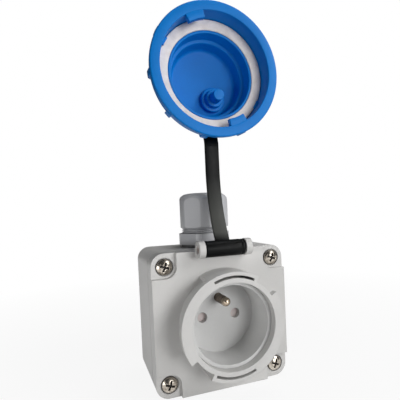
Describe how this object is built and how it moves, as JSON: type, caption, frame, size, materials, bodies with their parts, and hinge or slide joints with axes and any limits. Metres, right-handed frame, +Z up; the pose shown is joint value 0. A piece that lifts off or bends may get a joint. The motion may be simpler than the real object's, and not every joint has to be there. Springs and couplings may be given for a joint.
{
  "type": "industrial panel socket",
  "caption": "Square surface-mounted power socket with an earth pin, a cable gland on top and a round bayonet cap that swings on a strap.",
  "frame": {"origin": "centre of the back face, which lies on the wall", "axes": "+X to the right seen from the front, +Y into the wall, +Z up; the socket faces -Y"},
  "size_m": [0.074, 0.063, 0.1995],
  "materials": {
    "grey_housing": "fine matte moulded, light grey",
    "grey_insert": "smooth moulded, light grey",
    "inner_moulding": "matte moulded, off-white",
    "gasket_rubber": "matte black rubber",
    "seal_rubber": "matte off-white rubber",
    "contact_brass": "turned brass, dull",
    "screw_steel": "nickel-plated, lightly worn",
    "pin_steel": "drawn steel, slightly tarnished",
    "strap_rubber": "satin black flexible plastic",
    "blue_cap": "satin blue moulded plastic",
    "gland_plastic": "satin light grey nylon",
    "grommet_rubber": "matte black rubber",
    "shutter_plastic": "matte moulded, pale pinkish"
  },
  "bodies": {
    "housing": {"wall_box": "grey_housing", "box_gasket": "gasket_rubber", "front_flange": "grey_housing", "socket_insert": "grey_insert", "terminal_block": "inner_moulding", "live_contact": "contact_brass", "neutral_contact": "contact_brass", "earth_pin": "contact_brass", "terminal_screws": "screw_steel", "insert_screws": "screw_steel", "cover_screws": "screw_steel", "hinge_pin": "pin_steel", "gland_body": "gland_plastic", "gland_seal": "gasket_rubber", "gland_grommet": "grommet_rubber", "gland_claw": "gland_plastic", "dome_nut": "gland_plastic", "gland_locknut": "gland_plastic"},
    "strap_lower": {"strap_arm": "strap_rubber"},
    "strap_upper": {"strap_end": "strap_rubber"},
    "cap": {"lid": "blue_cap", "lid_seal": "seal_rubber", "strap_eyelet": "strap_rubber", "strap_rivet": "strap_rubber"},
    "cap_ring": {"bayonet_ring": "blue_cap"},
    "pin_shutter": {"shutter": "shutter_plastic", "shutter_spring": "screw_steel"}
  },
  "joints": [
    {"name": "strap_swing", "type": "hinge", "parent": "housing", "child": "strap_lower", "pos_m": [0, -0.0516, 0.038], "axis": [1, 0, 0], "range_deg": [0, 68.94]},
    {"name": "strap_fold", "type": "hinge", "parent": "strap_lower", "child": "strap_upper", "pos_m": [0, -0.04073, 0.06916], "axis": [1, 0, 0], "range_deg": [0, 111.11]},
    {"name": "cap_press", "type": "slide", "parent": "strap_upper", "child": "cap", "axis": [0, -1, 0], "range_m": [0, 0.0103]},
    {"name": "ring_turn", "type": "hinge", "parent": "cap", "child": "cap_ring", "pos_m": [0, -0.053, 0.1285], "axis": [0, -1, 0], "range_deg": [-70, 60]},
    {"name": "shutter_drop", "type": "slide", "parent": "housing", "child": "pin_shutter", "axis": [0, 0, -1], "range_m": [0, 0.0065], "stiffness_N_per_m": 60, "springref_m": -0.004, "deforming": ["shutter_spring"]}
  ],
  "couplings": [
    {"joint": "strap_fold", "follows": "strap_swing", "ratio": 1.611}
  ]
}
